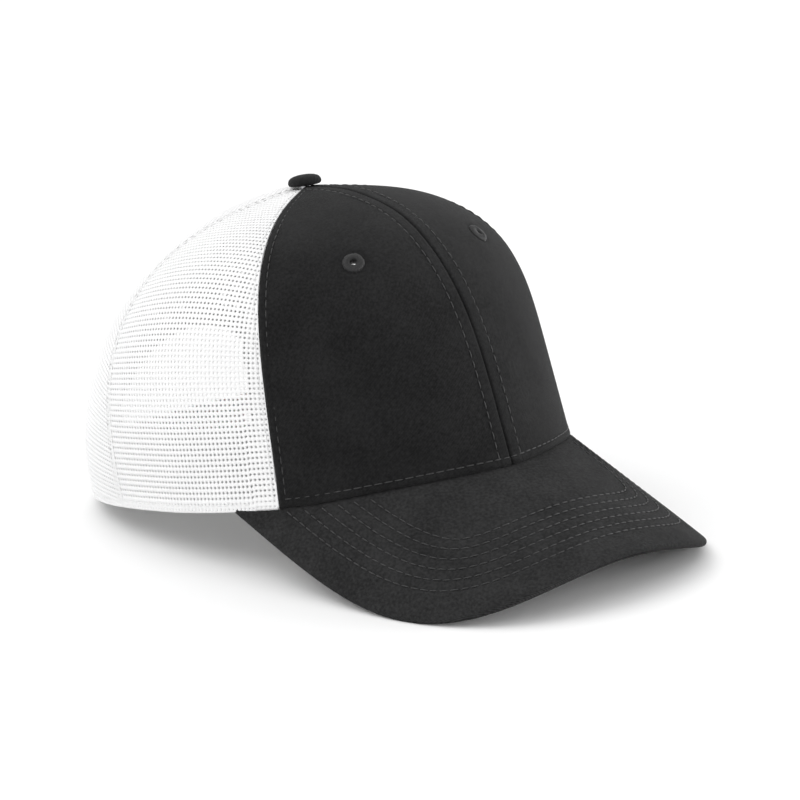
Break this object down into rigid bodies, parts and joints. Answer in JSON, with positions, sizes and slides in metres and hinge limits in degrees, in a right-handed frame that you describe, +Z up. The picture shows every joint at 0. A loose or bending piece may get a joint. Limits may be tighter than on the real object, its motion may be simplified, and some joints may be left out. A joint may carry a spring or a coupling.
{
  "type": "trucker cap",
  "caption": "Curved-visor cap with a dark structured front, open net sides and rear, a covered button and a snap strap across an arched rear opening.",
  "frame": {"origin": "on the floor plane below the middle of the cap's box, as it stands on its rear rim and its visor's two lower corners", "axes": "+Z up, front and visor towards -Y, wearer's right towards -X"},
  "size_m": [0.1684, 0.2611, 0.1307],
  "materials": {
    "black_twill": "brushed cotton twill",
    "visor_twill": "brushed cotton twill",
    "visor_under_twill": "brushed cotton twill",
    "buckram": "stiffened open weave",
    "white_net": "knitted polyester net",
    "black_thread": "satin-stitched thread",
    "button_cloth": "cotton twill over metal",
    "button_metal": "bright",
    "seam_tape": "plain weave",
    "sweatband_cloth": "plain weave, folded",
    "visor_board": "moulded board",
    "binding_cloth": "plain weave, folded",
    "strap_plastic": "satin moulded",
    "label_cloth": "woven ribbon"
  },
  "bodies": {
    "cap": {"button_core": "button_metal", "button_cover": "button_cloth", "button_rivet": "button_metal", "button_washer": "button_metal", "care_label": "label_cloth", "eyelet_left": "black_thread", "eyelet_right": "black_thread", "front_centre_tape": "seam_tape", "front_panel_left": "black_twill", "front_panel_right": "black_twill", "front_side_tape_left": "seam_tape", "front_side_tape_right": "seam_tape", "front_stiffener_left": "buckram", "front_stiffener_right": "buckram", "hole_strap_tab": "strap_plastic", "peg_strap_tab": "strap_plastic", "rear_centre_tape": "seam_tape", "rear_mesh_left": "white_net", "rear_mesh_right": "white_net", "rear_opening_binding": "binding_cloth", "side_mesh_left": "white_net", "side_mesh_right": "white_net", "side_rear_tape_left": "seam_tape", "side_rear_tape_right": "seam_tape", "sweatband": "sweatband_cloth", "visor_core": "visor_board", "visor_top_cover": "visor_twill", "visor_under_cover": "visor_under_twill"},
    "peg_strap": {"peg_strap": "strap_plastic"},
    "hole_strap": {"hole_strap": "strap_plastic"}
  },
  "joints": [
    {"name": "hole_strap_bend", "type": "hinge", "parent": "cap", "child": "hole_strap", "pos_m": [0.0351, 0.12334, 0.01205], "axis": [0, -0.1749, -0.9846], "range_deg": [0, 65]},
    {"name": "peg_strap_bend", "type": "hinge", "parent": "cap", "child": "peg_strap", "pos_m": [-0.0351, 0.12181, 0.01232], "axis": [0, -0.1749, -0.9846], "range_deg": [0, 70]}
  ]
}
